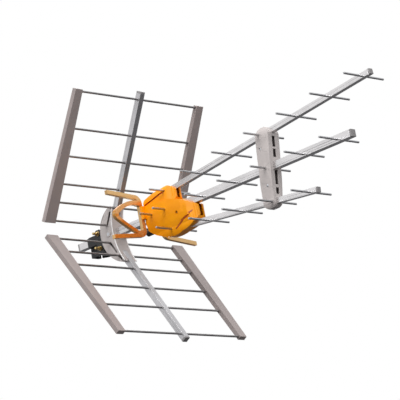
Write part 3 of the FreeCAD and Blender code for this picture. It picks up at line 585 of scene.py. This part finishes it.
def draped_strip(shell, start, end, half_width, side):
    """A thin strip laid on the outside of a shell, from one (x, z) point to another; it carries a groove's
    painted shade.
    """
    run = Vector((end[0] - start[0], 0, end[1] - start[1]))
    across = Vector((-run.z, 0, run.x)).normalized()
    to_local = shell.matrix_world.inverted()
    lanes = ((-1.0, -0.2), (-0.7, 0.15), (0.7, 0.15), (1.0, -0.2))
    steps = 48
    vertices = []
    for index in range(steps + 1):
        share = index / steps
        slim = half_width * math.sqrt(max(0.0, 1.0 - (2 * share - 1) ** 10))
        for lane, lift in lanes:
            place = Vector((start[0], 0, start[1])) + run * share + across * lane * slim
            origin = to_local @ spot(place.x, side * 80.0, place.z)
            hit, where, _, _ = shell.ray_cast(origin, Vector((0, -side, 0)))
            depth = (where.y / MM + OFFSET) * side if hit else 22.0
            vertices.append(spot(place.x, side * (depth + lift), place.z))
    faces = []
    for index in range(steps):
        for lane in range(3):
            low = index * 4 + lane
            faces.append((low, low + 1, low + 5, low + 4))
    return vertices, faces


def make_groove_shade_strips():
    """Painted shade for the body's side grooves: deep orange strips on the groove floors and a draped strip
    that paints a groove's shade on the shell.
    """
    # deep orange: painted shade in the grooves and along the draped groove line
    groove_shade = moulded_plastic("painted_groove_shade", (0.42, 0.07, 0.002), 0.45, 0.2)
    for side, name in ((1, "left"), (-1, "right")):
        shell = nodes["body_%s_shell" % name]
        strips = [groove_strip(150.0, 33.0, 3.0, 78.0, side), groove_strip(248.0, -50.0, 20.0, 52.0, side),
                  draped_strip(shell, (240.0, -60.0), (313.0, -27.0), 2.8, side)]
        piece("painted_groove_shade_strips_" + name, *joined(*strips), "orange_plastic", "antenna", groove_shade)


def make_pieces():
    """Every piece that the CAD frame doesn't bring."""
    make_wing_nut("upper_wing_nut", "upper_nut", BOLT_HEIGHTS[0])
    make_wing_nut("lower_wing_nut", "lower_nut", BOLT_HEIGHTS[1])
    make_threads()
    make_screw_heads()
    make_rod_end_plugs()
    make_bracket_highlight_beads()
    make_groove_shade_strips()


make_pieces()


# ---------------------------------------------------------------- light, floor and camera

CENTRE = (0.45, 0.0, 0.0)


def look_matrix(position, target):
    """A lamp's matrix: it stands at the position and shines at the target."""
    away = (Vector(position) - Vector(target)).normalized()
    side = Vector((0, 0, 1)).cross(away).normalized()
    up = away.cross(side)
    turn = Matrix((side, up, away)).transposed()
    return Matrix.Translation(position) @ turn.to_4x4()


def softbox(name, position, width, height, power):
    """A soft rectangular lamp that shines at the antenna and that the camera doesn't see."""
    lamp = bpy.data.lights.new(name, "AREA")
    lamp.shape = "RECTANGLE"
    lamp.size = width
    lamp.size_y = height
    lamp.energy = power
    obj = bpy.data.objects.new(name, lamp)
    bpy.context.scene.collection.objects.link(obj)
    obj.matrix_world = look_matrix(position, CENTRE)
    obj.visible_camera = False


def make_world():
    """A white sky that is bright above the horizon and darker below it."""
    world = bpy.data.worlds.new("studio")
    world.use_nodes = True
    bpy.context.scene.world = world
    tree = world.node_tree
    tree.nodes.clear()
    coordinates = tree.nodes.new("ShaderNodeTexCoord")
    split = tree.nodes.new("ShaderNodeSeparateXYZ")
    ramp = tree.nodes.new("ShaderNodeValToRGB")
    soft = tree.nodes.new("ShaderNodeBackground")
    white = tree.nodes.new("ShaderNodeBackground")
    path = tree.nodes.new("ShaderNodeLightPath")
    mix = tree.nodes.new("ShaderNodeMixShader")
    output = tree.nodes.new("ShaderNodeOutputWorld")
    span = tree.nodes.new("ShaderNodeMapRange")
    span.inputs["From Min"].default_value = -1.0
    tree.links.new(coordinates.outputs["Generated"], split.inputs["Vector"])
    tree.links.new(split.outputs["Z"], span.inputs["Value"])
    tree.links.new(span.outputs["Result"], ramp.inputs["Fac"])
    stops = ramp.color_ramp.elements
    stops[0].position = 0.44
    stops[0].color = (0.13, 0.13, 0.135, 1)
    stops[1].position = 0.56
    stops[1].color = (0.92, 0.92, 0.93, 1)
    tree.links.new(ramp.outputs["Color"], soft.inputs["Color"])
    white.inputs["Color"].default_value = (1, 1, 1, 1)
    tree.links.new(path.outputs["Is Camera Ray"], mix.inputs["Fac"])
    tree.links.new(soft.outputs["Background"], mix.inputs[1])
    tree.links.new(white.outputs["Background"], mix.inputs[2])
    tree.links.new(mix.outputs["Shader"], output.inputs["Surface"])


def make_floor():
    """A pale studio floor far below the antenna; it catches light but sends none back up."""
    mesh = bpy.data.meshes.new("floor")
    reach = 40.0
    level = -2.6
    corners = [(-reach, -reach, level), (reach, -reach, level), (reach, reach, level), (-reach, reach, level)]
    mesh.from_pydata(corners, [], [(0, 1, 2, 3)])
    floor = bpy.data.objects.new("floor", mesh)
    bpy.context.scene.collection.objects.link(floor)
    shade = Shade("floor_paint")
    shade.colour(shade.ramp(shade.noise(3.0), [(0.3, (0.86, 0.86, 0.86)), (0.7, (0.92, 0.92, 0.92))]))
    shade.roughness(shade.spread(shade.noise(20.0), 0.8, 0.95))
    mesh.materials.append(shade.material)
    floor.visible_diffuse = False
    floor.visible_glossy = False


def make_camera():
    """The viewpoint in front, to the right and below the antenna, with a long lens and a small roll."""
    lens = bpy.data.cameras.new("camera")
    lens.sensor_width = 36.0
    lens.lens = 237.3
    lens.clip_end = 200.0
    camera = bpy.data.objects.new("camera", lens)
    bpy.context.scene.collection.objects.link(camera)
    heading = Vector((-0.62953, 0.73365, 0.25584)).normalized()
    up = Vector((0.30331, -0.07111, 0.95024))
    right = heading.cross(up).normalized()
    up = right.cross(heading)
    turn = Matrix((right, up, -heading)).transposed()
    camera.matrix_world = Matrix.Translation((4.85017, -5.21816, -1.81015)) @ turn.to_4x4()
    bpy.context.scene.camera = camera


make_world()
make_floor()
make_camera()
softbox("key", (1.3, -3.6, 2.2), 2.2, 2.0, 105.0)
softbox("front", (3.6, -0.6, 0.6), 1.6, 1.6, 26.0)
softbox("top", (0.2, 0.4, 3.2), 2.6, 2.6, 40.0)
softbox("back", (-2.4, 2.6, 1.2), 2.0, 2.0, 40.0)
bpy.context.scene.view_settings.view_transform = "Standard"
